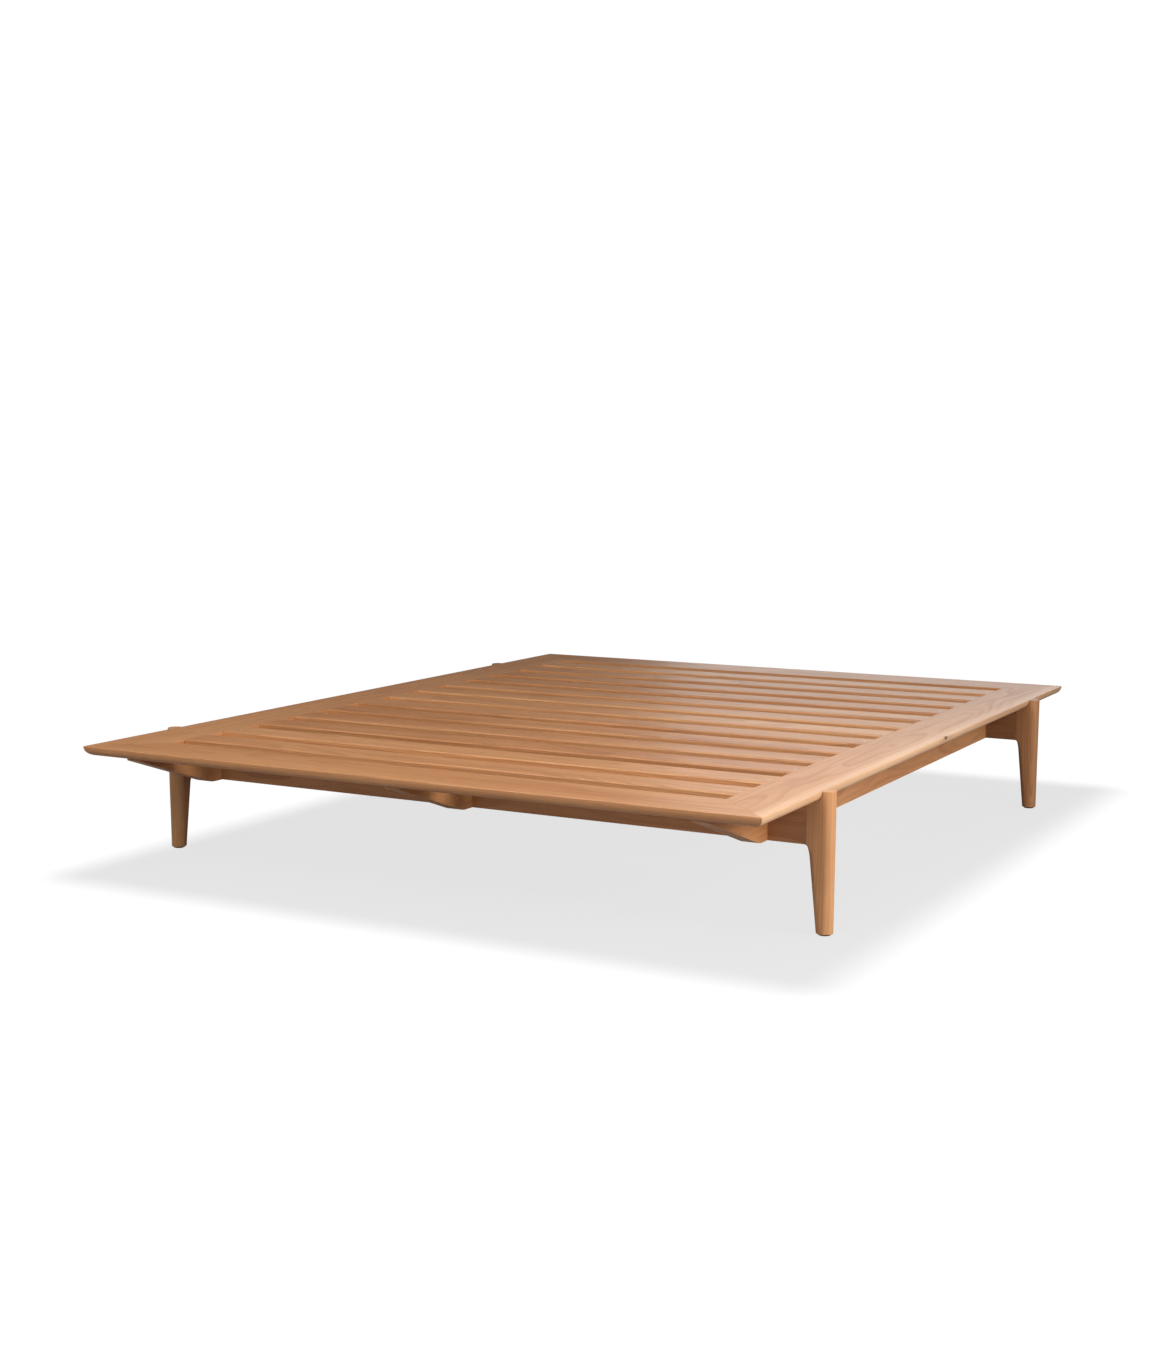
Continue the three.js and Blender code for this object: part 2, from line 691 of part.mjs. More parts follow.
// Nylon disc that carries the leg, with the nail that holds it.
function glide() {
  return turned(
    [
      [0, 0],
      [GLIDE_RADIUS - GLIDE_EDGE, 0],
      [GLIDE_RADIUS, GLIDE_EDGE],
      [GLIDE_RADIUS, GLIDE_HEIGHT],
      [GLIDE_NAIL_RADIUS, GLIDE_HEIGHT],
      [GLIDE_NAIL_RADIUS, GLIDE_NAIL_TOP - SCREW_POINT],
      [0, GLIDE_NAIL_TOP],
    ],
    GLIDE_OFFSET,
  );
}

corners.forEach((corner) => {
  const spot = [corner.x * HALF_WIDTH, corner.y * BEAM_Y, 0];
  const turn = corner.x > 0 ? 0 : Math.PI;
  place(`leg_${corner.name}`, leg(), cherry, spot, turn);
  place(`glide_${corner.name}`, glide(), nylon, spot, turn);
});

export default group;
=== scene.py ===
"""Looks of the wooden platform bed frame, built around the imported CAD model. Lengths are metres."""

import math
import random

import bmesh
import bpy
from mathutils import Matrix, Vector


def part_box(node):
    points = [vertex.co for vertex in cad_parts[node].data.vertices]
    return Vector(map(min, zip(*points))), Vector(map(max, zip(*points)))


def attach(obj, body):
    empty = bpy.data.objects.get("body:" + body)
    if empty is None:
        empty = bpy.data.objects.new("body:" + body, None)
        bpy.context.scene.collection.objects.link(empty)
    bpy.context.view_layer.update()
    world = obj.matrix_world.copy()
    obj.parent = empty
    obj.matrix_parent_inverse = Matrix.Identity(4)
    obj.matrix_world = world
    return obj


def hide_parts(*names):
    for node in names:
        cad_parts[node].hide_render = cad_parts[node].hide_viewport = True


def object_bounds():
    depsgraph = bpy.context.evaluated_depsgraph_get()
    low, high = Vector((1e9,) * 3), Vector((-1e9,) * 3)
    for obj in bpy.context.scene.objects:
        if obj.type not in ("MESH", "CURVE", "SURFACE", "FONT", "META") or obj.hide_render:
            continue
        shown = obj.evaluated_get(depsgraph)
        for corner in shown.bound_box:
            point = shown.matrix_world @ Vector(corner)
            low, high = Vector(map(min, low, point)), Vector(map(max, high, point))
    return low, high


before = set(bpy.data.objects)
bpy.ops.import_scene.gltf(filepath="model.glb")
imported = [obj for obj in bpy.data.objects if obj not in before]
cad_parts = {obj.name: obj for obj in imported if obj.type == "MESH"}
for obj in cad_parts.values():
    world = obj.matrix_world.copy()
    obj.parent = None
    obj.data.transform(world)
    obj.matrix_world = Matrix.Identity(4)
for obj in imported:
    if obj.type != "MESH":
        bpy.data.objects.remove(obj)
cad_low, cad_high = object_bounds()

MM = 0.001

# Shape of the timber, as in the CAD model
DECK_ARRIS = 1.5 * MM
DECK_CORNER_RADIUS = 1.5 * MM
DECK_CORNER_SPREAD = 0.15
MITRE_GAP = 0.15 * MM
SLAT_COUNT = 13
SLAT_EDGE_RADIUS = 4 * MM
SLAT_LOWER_RADIUS = 1.2 * MM
LEG_JOINT_INSET = 33 * MM
LEG_THICKNESS_FOOT = 35 * MM
LEG_OUTER_FOOT = 20.2 * MM
LEG_INNER_FOOT = 14.8 * MM
LEG_INNER_SLOPE = 0.086
LEG_FILLET = 6.5 * MM
LEG_EASING = 1.8 * MM
LEG_TAPER_TOP = 150 * MM
LEG_KNEE = 166 * MM
LEG_KNEE_ROUNDNESS = 0.62
LEG_BLOCK_ROUNDNESS = 0.05
COPE_GAP = 0.9 * MM
EDGE_SOFTNESS = 1.1 * MM

# A cross beam's tenon, in its leg
TENON_HALF_THICKNESS = 6 * MM
TENON_BOTTOM = 203 * MM
TENON_TOP = 258 * MM
TENON_GAP = 0.3 * MM

# Turned sides of a screw, and the cross recess in its head
SCREW_SIDES = 20
CROSS_ARM = 2.4 * MM
CROSS_HALF_WIDTH = 0.52 * MM
CROSS_NARROWING = 0.6

# Slat screws, seen from above
SLAT_SCREW_FROM_END = 9.5 * MM
SLAT_SCREW_HEAD_RADIUS = 4.2 * MM
SLAT_SCREW_HEAD_DEPTH = 2.6 * MM
SLAT_SCREW_SHANK_RADIUS = 2.0 * MM
SLAT_SCREW_LENGTH_SHOWN = 3.5 * MM
SLAT_SCREW_SINK = 0.25 * MM
SLAT_SCREW_CLEARANCE = 0.3 * MM
SLAT_SCREW_HOLE_RADIUS = 2.4 * MM

# Deck screws, driven up from below
DECK_SCREW_HEAD_DEPTH = 2.6 * MM
DECK_SCREW_CORE_RADIUS = 1.6 * MM
DECK_SCREW_THREAD_RADIUS = 2.2 * MM
DECK_SCREW_THREAD_PITCH = 2.4 * MM

# Connector bolts
BOLT_HEAD_EASING = 1.3 * MM
BOLT_HEAD_DEPTH = 2.4 * MM
BOLT_SHANK_RADIUS = 4 * MM
BOLT_END_CHAMFER = 0.6 * MM
BOLT_SOCKET_RADIUS = 2.9 * MM
BOLT_SOCKET_DEPTH = 4.5 * MM

# Glides
GLIDE_DISC_TOP = 2.7 * MM
GLIDE_EASING = 1 * MM
GLIDE_CHAMFER = 0.3 * MM
GLIDE_NAIL_RADIUS = 1.3 * MM

# Random seed of each kind of board, to which the board's number is added
RAIL_SEED = 30
BEAM_SEED = 40
LEG_SEED = 60
TENON_SEED = 80
SLAT_SEED = 100

# Small knot on the right-hand board, from its outer edge, the foot end and the top
KNOT_INSET = 1.0 * MM
KNOT_FROM_FOOT = 1.08
KNOT_DROP = 2.0 * MM

# Pale rubbed mark on the foot cross beam, left of its middle and under its middle
SCUFF_LEFT = 0.198
SCUFF_DROP = 20.5 * MM

# Painted light and shade on each end's beam and legs: how far they are lightened, or darkened below 0;
# the foot legs are lightened as painted light, and the beams and head legs are darkened as painted
# shade, the head end most
BEAM_PAINTED_LIGHT_AND_SHADE = {"foot": -0.14, "head": -0.62}
LEG_PAINTED_LIGHT_AND_SHADE = {"foot": 0.17, "head": -0.3}

# Painted shadow: a soft grey patch on the studio floor under the bed
FLOOR_HALF_SIZE = 60.0
PAINTED_SHADOW_SHIFT = 0.05
PAINTED_SHADOW_MARGIN = 0.02
PAINTED_SHADOW_FADE = 0.17
PAINTED_SHADOW_BRIGHTNESS = 0.75

# Camera: where it stands, how it is turned and tilted, and its lens
CAMERA_POSITION = Vector((2.1735, -4.1520, 0.9823))
CAMERA_YAW = 0.5039
CAMERA_PITCH = 0.1299
CAMERA_LENS = 48.67

deck_low, deck_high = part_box("right_deck_board")
DECK_EDGE_X = deck_high.x
DECK_END_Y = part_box("head_deck_board")[1].y
DECK_TOP = deck_high.z
DECK_BOTTOM = deck_low.z
BORDER_WIDTH = deck_high.x - deck_low.x
DECK_EDGE_RADIUS = DECK_TOP - DECK_BOTTOM - DECK_ARRIS


# ---------------------------------------------------------------- mesh helpers

def add_object(name, mesh):
    piece = bpy.data.objects.new(name, mesh)
    bpy.context.scene.collection.objects.link(piece)
    return piece


def object_from_bmesh(name, bm):
    bmesh.ops.recalc_face_normals(bm, faces=bm.faces)
    for face in bm.faces:
        face.smooth = True
    mesh = bpy.data.meshes.new(name)
    bm.to_mesh(mesh)
    bm.free()
    return add_object(name, mesh)


def loft(name, loops):
    """A closed body skinned over closed loops of equal length."""
    bm = bmesh.new()
    rings = [[bm.verts.new(point) for point in loop] for loop in loops]
    for lower, upper in zip(rings, rings[1:]):
        for i, vertex in enumerate(lower):
            j = (i + 1) % len(lower)
            bm.faces.new((vertex, lower[j], upper[j], upper[i]))
    bm.faces.new(list(reversed(rings[0])))
    bm.faces.new(rings[-1])
    return object_from_bmesh(name, bm)


def arc(centre, radius, start, end, steps):
    """Points on an arc in a plane, from one angle to another, in degrees."""
    points = []
    for step in range(steps + 1):
        angle = math.radians(start + (end - start) * step / steps)
        points.append((centre[0] + radius * math.cos(angle), centre[1] + radius * math.sin(angle)))
    return points


def lathe_into(bm, profile, centre, segments=24):
    """Adds a turned body about a vertical axis; the profile is (radius, height) from axis to axis."""
    rings = []
    for radius, height in profile:
        if radius < 1e-7:
            rings.append([bm.verts.new((centre[0], centre[1], height))])
            continue
        ring = []
        for step in range(segments):
            angle = 2 * math.pi * step / segments
            x = centre[0] + radius * math.cos(angle)
            y = centre[1] + radius * math.sin(angle)
            ring.append(bm.verts.new((x, y, height)))
        rings.append(ring)
    for lower, upper in zip(rings, rings[1:]):
        for i in range(segments):
            j = (i + 1) % segments
            corners = [lower[i % len(lower)], lower[j % len(lower)]]
            corners += [upper[j % len(upper)], upper[i % len(upper)]]
            unique = list(dict.fromkeys(corners))
            if len(unique) > 2:
                bm.faces.new(unique)


def boolean_difference(piece, cutter):
    """Cuts one body out of another and applies the result."""
    modifier = piece.modifiers.new("cut", "BOOLEAN")
    modifier.operation = "DIFFERENCE"
    modifier.solver = "EXACT"
    modifier.object = cutter
    bpy.context.view_layer.update()
    graph = bpy.context.evaluated_depsgraph_get()
    result = bpy.data.meshes.new_from_object(piece.evaluated_get(graph))
    piece.modifiers.remove(modifier)
    old = piece.data
    piece.data = result
    bpy.data.meshes.remove(old)
    bpy.data.objects.remove(cutter)


def soften(piece, width, segments=3, angle=35):
    """Rounds the sharp edges of a piece and evens its normals."""
    bevel = piece.modifiers.new("soft_edges", "BEVEL")
    bevel.width = width
    bevel.segments = segments
    bevel.limit_method = "ANGLE"
    bevel.angle_limit = math.radians(angle)
    bevel.miter_outer = "MITER_ARC"
    normals = piece.modifiers.new("even_normals", "WEIGHTED_NORMAL")
    normals.keep_sharp = False
    normals.weight = 80


def soften_cad(node, width):
    """Rounds the edges of a CAD node, whose own mesh stays as it is."""
    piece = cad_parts[node]
    weld = piece.modifiers.new("weld", "WELD")
    weld.merge_threshold = 0.01 * MM
    flatten = piece.modifiers.new("flatten", "DECIMATE")
    flatten.decimate_type = "DISSOLVE"
    flatten.angle_limit = math.radians(0.5)
    soften(piece, width)


# ---------------------------------------------------------------- node helpers

class Nodes:
    """Short calls for building a node tree."""

    def __init__(self, tree):
        self.tree = tree

    def add(self, kind, **settings):
        node = self.tree.nodes.new(kind)
        for key, value in settings.items():
            setattr(node, key, value)
        return node

    def feed(self, socket, value):
        if isinstance(value, bpy.types.NodeSocket):
            self.tree.links.new(value, socket)
        else:
            socket.default_value = value

    def math(self, operation, a, b=0.0, clamp=False):
        node = self.add("ShaderNodeMath", operation=operation, use_clamp=clamp)
        self.feed(node.inputs[0], a)
        self.feed(node.inputs[1], b)
        return node.outputs[0]

    def span(self, value, low, high, to_low=0.0, to_high=1.0, smooth=True):
        node = self.add("ShaderNodeMapRange")
        node.interpolation_type = "SMOOTHSTEP" if smooth else "LINEAR"
        self.feed(node.inputs["Value"], value)
        node.inputs["From Min"].default_value = low
        node.inputs["From Max"].default_value = high
        node.inputs["To Min"].default_value = to_low
        node.inputs["To Max"].default_value = to_high
        return node.outputs[0]

    def combine(self, x, y, z):
        node = self.add("ShaderNodeCombineXYZ")
        for socket, value in zip(node.inputs, (x, y, z)):
            self.feed(socket, value)
        return node.outputs[0]

    def noise(self, vector, scale, detail=2.0, roughness=0.5, distortion=0.0):
        node = self.add("ShaderNodeTexNoise")
        self.feed(node.inputs["Vector"], vector)
        node.inputs["Scale"].default_value = scale
        node.inputs["Detail"].default_value = detail
        node.inputs["Roughness"].default_value = roughness
        node.inputs["Distortion"].default_value = distortion
        return node.outputs["Fac"]

    def mix(self, factor, a, b, blend="MIX"):
        node = self.add("ShaderNodeMix", data_type="RGBA", blend_type=blend)
        self.feed(node.inputs["Factor"], factor)
        first, second = (socket for socket in node.inputs if socket.type == "RGBA")
        self.feed(first, a)
        self.feed(second, b)
        return next(socket for socket in node.outputs if socket.type == "RGBA")


def rgb(red, green, blue):
    return (red, green, blue, 1.0)


# ---------------------------------------------------------------- cherry wood

RING_SPACING = 5.2 * MM


def cherry_group():
    """Wood cut from a log: growth rings round a wandering pith, fibres, pores and gum flecks.

    The input vector is in metres, with X along the grain and the pith at Y = Z = 0."""
    tree = bpy.data.node_groups.new("cherry_grain", "ShaderNodeTree")
    tree.interface.new_socket("Vector", in_out="INPUT", socket_type="NodeSocketVector")
    for name in ("Tone", "Rings", "Fibre", "Flecks", "Height"):
        tree.interface.new_socket(name, in_out="OUTPUT", socket_type="NodeSocketFloat")
    n = Nodes(tree)
    source = n.add("NodeGroupInput").outputs["Vector"]
    split = n.add("ShaderNodeSeparateXYZ")
    n.feed(split.inputs[0], source)
    along, across, up = split.outputs

    def stretched(a, b):
        return n.combine(n.math("MULTIPLY", along, a), n.math("MULTIPLY", across, b),
                         n.math("MULTIPLY", up, b))

    # Distance from the pith, which wanders along the board
    wander = n.noise(stretched(0.9, 4.0), 1.0, 2.0)
    ripple = n.noise(stretched(5.0, 26.0), 1.0, 2.0)
    reach = n.math("SQRT", n.math("ADD", n.math("MULTIPLY", across, across),
                                  n.math("MULTIPLY", up, up)))
    reach = n.math("ADD", reach, n.math("MULTIPLY", n.math("SUBTRACT", wander, 0.5), 0.075))
    reach = n.math("ADD", reach, n.math("MULTIPLY", n.math("SUBTRACT", ripple, 0.5), 0.006))
    # Each ring darkens towards its late wood, and has a darkness of its own
    ring = n.math("MULTIPLY", reach, 1 / RING_SPACING)
    in_ring = n.math("FRACT", ring)
    late = n.math("MULTIPLY", n.span(in_ring, 0.35, 0.93), n.span(in_ring, 1.0, 0.95))
    each = n.add("ShaderNodeTexWhiteNoise", noise_dimensions="1D")
    n.feed(each.inputs["W"], n.math("FLOOR", ring))
    rings = n.math("ADD", n.math("MULTIPLY", late, 0.62),
                   n.math("MULTIPLY", each.outputs["Value"], 0.38))
    # Slow changes of colour across several rings and along the board
    band = n.add("ShaderNodeTexNoise", noise_dimensions="1D")
    n.feed(band.inputs["W"], n.math("MULTIPLY", ring, 0.22))
    band.inputs["Scale"].default_value = 1.0
    band.inputs["Detail"].default_value = 2.0
    blotch = n.noise(stretched(1.4, 7.0), 1.0, 3.0, 0.55)
    curl = n.noise(stretched(26.0, 9.0), 1.0, 2.0)
    tone = n.math("ADD", n.math("MULTIPLY", band.outputs["Fac"], 0.5),
                  n.math("MULTIPLY", blotch, 0.4))
    tone = n.math("ADD", tone, n.math("MULTIPLY", curl, 0.1))
    # Fibres, pores and gum flecks
    fine = n.noise(stretched(9.0, 620.0), 1.0, 3.0, 0.6)
    streak = n.noise(stretched(2.2, 120.0), 1.0, 3.0, 0.55)
    fibre = n.math("ADD", n.math("MULTIPLY", fine, 0.45), n.math("MULTIPLY", streak, 0.55))
    pores = n.span(n.noise(stretched(55.0, 1900.0), 1.0, 1.0), 0.62, 0.72)
    gum = n.span(n.noise(stretched(20.0, 330.0), 1.0, 1.0), 0.73, 0.79)
    gum = n.math("MULTIPLY", gum, n.span(n.noise(stretched(1.1, 9.0), 1.0, 1.0), 0.48, 0.62))
    height = n.math("SUBTRACT", n.math("MULTIPLY", fine, 0.5), n.math("MULTIPLY", pores, 0.7))
    height = n.math("SUBTRACT", height, n.math("MULTIPLY", gum, 0.4))
    height = n.math("ADD", height, n.math("MULTIPLY", late, 0.25))
    out = n.add("NodeGroupOutput")
    for name, value in (("Tone", tone), ("Rings", rings), ("Fibre", fibre),
                        ("Flecks", n.math("ADD", gum, n.math("MULTIPLY", pores, 0.3))),
                        ("Height", height)):
        n.feed(out.inputs[name], value)
    return tree


CHERRY = cherry_group()

# Linear colours of oiled cherry
GOLD = rgb(0.65, 0.325, 0.14)
AMBER = rgb(0.50, 0.215, 0.08)
RUSSET = rgb(0.28, 0.10, 0.036)
GUM = rgb(0.08, 0.028, 0.012)
# Paler sapwood, which also serves as a painted highlight on the lit right edge
SAPWOOD_AND_HIGHLIGHT = rgb(0.83, 0.545, 0.33)
WORN = rgb(0.74, 0.42, 0.21)
# Tints that lighten or darken a whole board: paler or darker wood, and painted light and shade on the
# beams and legs
PALE_AND_PAINTED_LIGHT_TINT = rgb(0.88, 0.49, 0.23)
DARK_AND_PAINTED_SHADE_TINT = rgb(0.16, 0.055, 0.018)


def grain_vector(n, grain, pith):
    """Coordinates with X along the grain and the pith at Y = Z = 0."""
    place = n.add("ShaderNodeTexCoord").outputs["Object"]
    split = n.add("ShaderNodeSeparateXYZ")
    n.feed(split.inputs[0], place)
    x, y, z = split.outputs
    order = {"X": (x, y, z), "Y": (y, x, z), "Z": (z, x, y)}[grain]
    from_pith = n.add("ShaderNodeVectorMath", operation="SUBTRACT")
    n.feed(from_pith.inputs[0], n.combine(*order))
    from_pith.inputs[1].default_value = pith
    return from_pith.outputs[0]


def edge_wear(n):
    """1 on rounded edges and 0 on flat faces."""
    geometry = n.add("ShaderNodeNewGeometry")
    rounded = n.add("ShaderNodeBevel", samples=4)
    rounded.inputs["Radius"].default_value = 2.2 * MM
    dot = n.add("ShaderNodeVectorMath", operation="DOT_PRODUCT")
    n.feed(dot.inputs[0], geometry.outputs["Normal"])
    n.feed(dot.inputs[1], rounded.outputs["Normal"])
    return n.span(dot.outputs["Value"], 0.985, 0.86)


def distance_from(n, point, stretch):
    """Distance of the shaded place from a point, with each axis stretched by its own factor."""
    offset = n.add("ShaderNodeVectorMath", operation="SUBTRACT")
    n.feed(offset.inputs[0], n.add("ShaderNodeTexCoord").outputs["Object"])
    offset.inputs[1].default_value = point
    scaled = n.add("ShaderNodeVectorMath", operation="MULTIPLY")
    n.feed(scaled.inputs[0], offset.outputs[0])
    scaled.inputs[1].default_value = stretch
    size = n.add("ShaderNodeVectorMath", operation="LENGTH")
    n.feed(size.inputs[0], scaled.outputs[0])
    return size.outputs["Value"]


def wood(name, grain, seed, across, depth, shade=0.0, pale_and_painted_light=0.0, figure=0.42, sapwood=None,
         knot=None, scuff=None):
    """A material for one board. grain is the axis it runs along; shade runs from gold to amber. The
    argument after shade lightens the whole board, or darkens it where it is below 0: it makes a paler or
    darker wood, and on the beams and legs it is painted light and shade. figure is how strongly the
    growth rings show.

    across and depth say where the pith runs beside or under the board; the argument after figure is
    (axis, low, high), where the wood pales between two places, as paler sapwood and also as a painted
    highlight on a lit edge; knot and scuff are points on the board, the second with a pale rubbed mark."""
    dice = random.Random(seed)
    material = bpy.data.materials.new(name)
    material.use_nodes = True
    tree = material.node_tree
    tree.nodes.clear()
    n = Nodes(tree)
    pith = (-dice.uniform(3, 40), across + dice.uniform(-0.01, 0.01), depth)
    vector = grain_vector(n, grain, pith)
    if knot is not None:
        from_knot = distance_from(n, knot, (1.0, 0.42, 1.0))
        pull = n.span(from_knot, 0.03, 0.0)
        bulge = n.math("MULTIPLY", pull, 0.02)
        lifted = n.add("ShaderNodeVectorMath", operation="ADD")
        n.feed(lifted.inputs[0], vector)
        n.feed(lifted.inputs[1], n.combine(0.0, bulge, bulge))
        vector = lifted.outputs[0]
    grain_node = n.add("ShaderNodeGroup")
    grain_node.node_tree = CHERRY
    n.feed(grain_node.inputs["Vector"], vector)
    out = grain_node.outputs
    tone = n.span(out["Tone"], 0.36, 0.66, smooth=False)
    tone = n.math("ADD", tone, shade, clamp=True)
    colour = n.mix(tone, GOLD, AMBER)
    line = n.math("MULTIPLY", n.span(out["Rings"], 0.15, 1.0, smooth=False), figure)
    colour = n.mix(line, colour, RUSSET)
    streaks = n.span(out["Fibre"], 0.34, 0.68, smooth=False)
    darker = n.mix(1.0, colour, rgb(0.70, 0.61, 0.52), "MULTIPLY")
    colour = n.mix(n.math("MULTIPLY", streaks, 0.72), colour, darker)
    # Lightening or darkening of the whole board: a paler or darker wood, and painted light and shade on
    # the beams and legs
    if pale_and_painted_light:
        colour = n.mix(abs(pale_and_painted_light), colour, PALE_AND_PAINTED_LIGHT_TINT if pale_and_painted_light > 0 else DARK_AND_PAINTED_SHADE_TINT)
    # Paler sapwood towards an edge, which also paints a highlight on that lit edge
    if sapwood is not None:
        axis, low, high = sapwood
        place = n.add("ShaderNodeSeparateXYZ")
        n.feed(place.inputs[0], n.add("ShaderNodeTexCoord").outputs["Object"])
        sapwood_and_highlight_mask = n.span(place.outputs[axis], low, high)
        sapwood_and_highlight_mask = n.math("MULTIPLY", sapwood_and_highlight_mask, n.span(out["Tone"], 0.75, 0.35, 0.35, 1.0))
        colour = n.mix(n.math("MULTIPLY", sapwood_and_highlight_mask, 0.62), colour, SAPWOOD_AND_HIGHLIGHT)
    colour = n.mix(n.math("MULTIPLY", edge_wear(n), 0.22), colour, WORN)
    colour = n.mix(n.math("MULTIPLY", out["Flecks"], 0.6), colour, GUM)
    if knot is not None:
        colour = n.mix(n.span(from_knot, 0.0062, 0.0022), colour, GUM)
    if scuff is not None:
        rubbed = n.span(distance_from(n, scuff, (0.3, 1.0, 1.0)), 0.0042, 0.0016, 0.0, 0.42)
        colour = n.mix(n.math("MULTIPLY", rubbed, n.span(out["Fibre"], 0.7, 0.3)), colour, WORN)
    shader = n.add("ShaderNodeBsdfPrincipled")
    n.feed(shader.inputs["Base Color"], colour)
    rough = n.math("ADD", 0.36, n.math("MULTIPLY", out["Fibre"], 0.16))
    rough = n.math("ADD", rough, n.math("MULTIPLY", out["Rings"], 0.05))
    n.feed(shader.inputs["Roughness"], rough)
    shader.inputs["Coat Weight"].default_value = 0.12
    shader.inputs["Coat Roughness"].default_value = 0.3
    bump = n.add("ShaderNodeBump")
    bump.inputs["Strength"].default_value = 0.35
    bump.inputs["Distance"].default_value = 0.25 * MM
    n.feed(bump.inputs["Height"], out["Height"])
    n.feed(shader.inputs["Normal"], bump.outputs[0])
    n.feed(n.add("ShaderNodeOutputMaterial").inputs["Surface"], shader.outputs[0])
    return material


def metal(name, colour, roughness, scratch):
    """Plated or turned metal with fine scratches, stains and dulled patches."""
    material = bpy.data.materials.new(name)
    material.use_nodes = True
    tree = material.node_tree
    tree.nodes.clear()
    n = Nodes(tree)
    place = n.add("ShaderNodeTexCoord").outputs["Object"]
    cloud = n.noise(place, 160.0, 3.0)
    lines = n.noise(place, scratch, 2.0, 0.7, 1.5)
    shader = n.add("ShaderNodeBsdfPrincipled")
    dull = tuple(0.62 * c for c in colour[:3]) + (1.0,)
    n.feed(shader.inputs["Base Color"], n.mix(n.span(cloud, 0.35, 0.75), colour, dull))
    shader.inputs["Metallic"].default_value = 1.0
    n.feed(shader.inputs["Roughness"], n.span(lines, 0.3, 0.8, roughness, roughness + 0.2))
    bump = n.add("ShaderNodeBump")
    bump.inputs["Strength"].default_value = 0.2
    bump.inputs["Distance"].default_value = 0.05 * MM
    n.feed(bump.inputs["Height"], lines)
    n.feed(shader.inputs["Normal"], bump.outputs[0])
    n.feed(n.add("ShaderNodeOutputMaterial").inputs["Surface"], shader.outputs[0])
    return material


def moulded_nylon():
    """Dark brown moulded plastic with a fine eroded grain and scuffed patches."""
    material = bpy.data.materials.new("glide_nylon")
    material.use_nodes = True
    tree = material.node_tree
    tree.nodes.clear()
    n = Nodes(tree)
    place = n.add("ShaderNodeTexCoord").outputs["Object"]
    grain = n.noise(place, 2600.0, 2.0)
    scuff = n.noise(place, 140.0, 3.0)
    shader = n.add("ShaderNodeBsdfPrincipled")
    colour = n.mix(n.span(scuff, 0.4, 0.7), rgb(0.085, 0.06, 0.042), rgb(0.15, 0.115, 0.085))
    n.feed(shader.inputs["Base Color"], colour)
    n.feed(shader.inputs["Roughness"], n.span(scuff, 0.3, 0.7, 0.42, 0.66))
    bump = n.add("ShaderNodeBump")
    bump.inputs["Strength"].default_value = 0.3
    bump.inputs["Distance"].default_value = 0.06 * MM
    n.feed(bump.inputs["Height"], grain)
    n.feed(shader.inputs["Normal"], bump.outputs[0])
    n.feed(n.add("ShaderNodeOutputMaterial").inputs["Surface"], shader.outputs[0])
    return material


def finish_piece(piece, material, replaced=()):
    piece.data.materials.clear()
    piece.data.materials.append(material)
    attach(piece, "root")
    if replaced:
        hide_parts(*replaced)
    return piece


def finish_cad(node, material):
    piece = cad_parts[node]
    piece.data.materials.clear()
    piece.data.materials.append(material)


# ---------------------------------------------------------------- deck boards

def deck_profile():
    """Section of a deck board as (inset from the outer edge, height), from inner top to inner bottom."""
    arris_centre = (DECK_ARRIS, DECK_TOP - DECK_ARRIS)
    edge_centre = (DECK_EDGE_RADIUS, DECK_TOP - DECK_ARRIS)
    points = [(BORDER_WIDTH, DECK_TOP)]
    points += arc(arris_centre, DECK_ARRIS, 90, 180, 4)
    points += arc(edge_centre, DECK_EDGE_RADIUS, 180, 270, 20)[1:]
    points.append((BORDER_WIDTH, DECK_BOTTOM))
    return points


def corner_section(profile, degrees):
    """One section near a corner: (inset from the outer edge, distance from the corner, height).

    Each level turns the corner on its own radius, which grows inwards, as far as the mitre."""
    angle = math.radians(degrees)
    section = []
    for inset, height in profile:
        radius = DECK_CORNER_RADIUS + DECK_CORNER_SPREAD * inset
        if inset >= BORDER_WIDTH:
            across = along = inset
        else:
            across = inset + radius * (1 - math.cos(angle))
            along = inset + radius * (1 - math.sin(angle))
        section.append((across, along + MITRE_GAP * math.sqrt(2), height))
    return section


def deck_board(name, half_length, place):
    """A mitred border board; place maps (inset, position along, height) to the row frame."""
    profile = deck_profile()
    turns = [corner_section(profile, degrees) for degrees in (45, 36, 27, 18, 9, 0)]
    bm = bmesh.new()
    rings = []
    for side, sections in ((-1, turns), (1, list(reversed(turns)))):
        for section in sections:
            rings.append([
                bm.verts.new(place(across, side * (half_length - along), height))
                for across, along, height in section
            ])
    for lower, upper in zip(rings, rings[1:]):
        for i in range(len(lower)):
            j = (i + 1) % len(lower)
            bm.faces.new((lower[i], lower[j], upper[j], upper[i]))
    bm.faces.new(list(reversed(rings[0])))
    bm.faces.new(rings[-1])
    bmesh.ops.remove_doubles(bm, verts=bm.verts, dist=0.002 * MM)
    bmesh.ops.dissolve_degenerate(bm, edges=bm.edges, dist=0.001 * MM)
    piece = object_from_bmesh(name, bm)
    soften(piece, 0.25 * MM, 2, 50)
    return piece


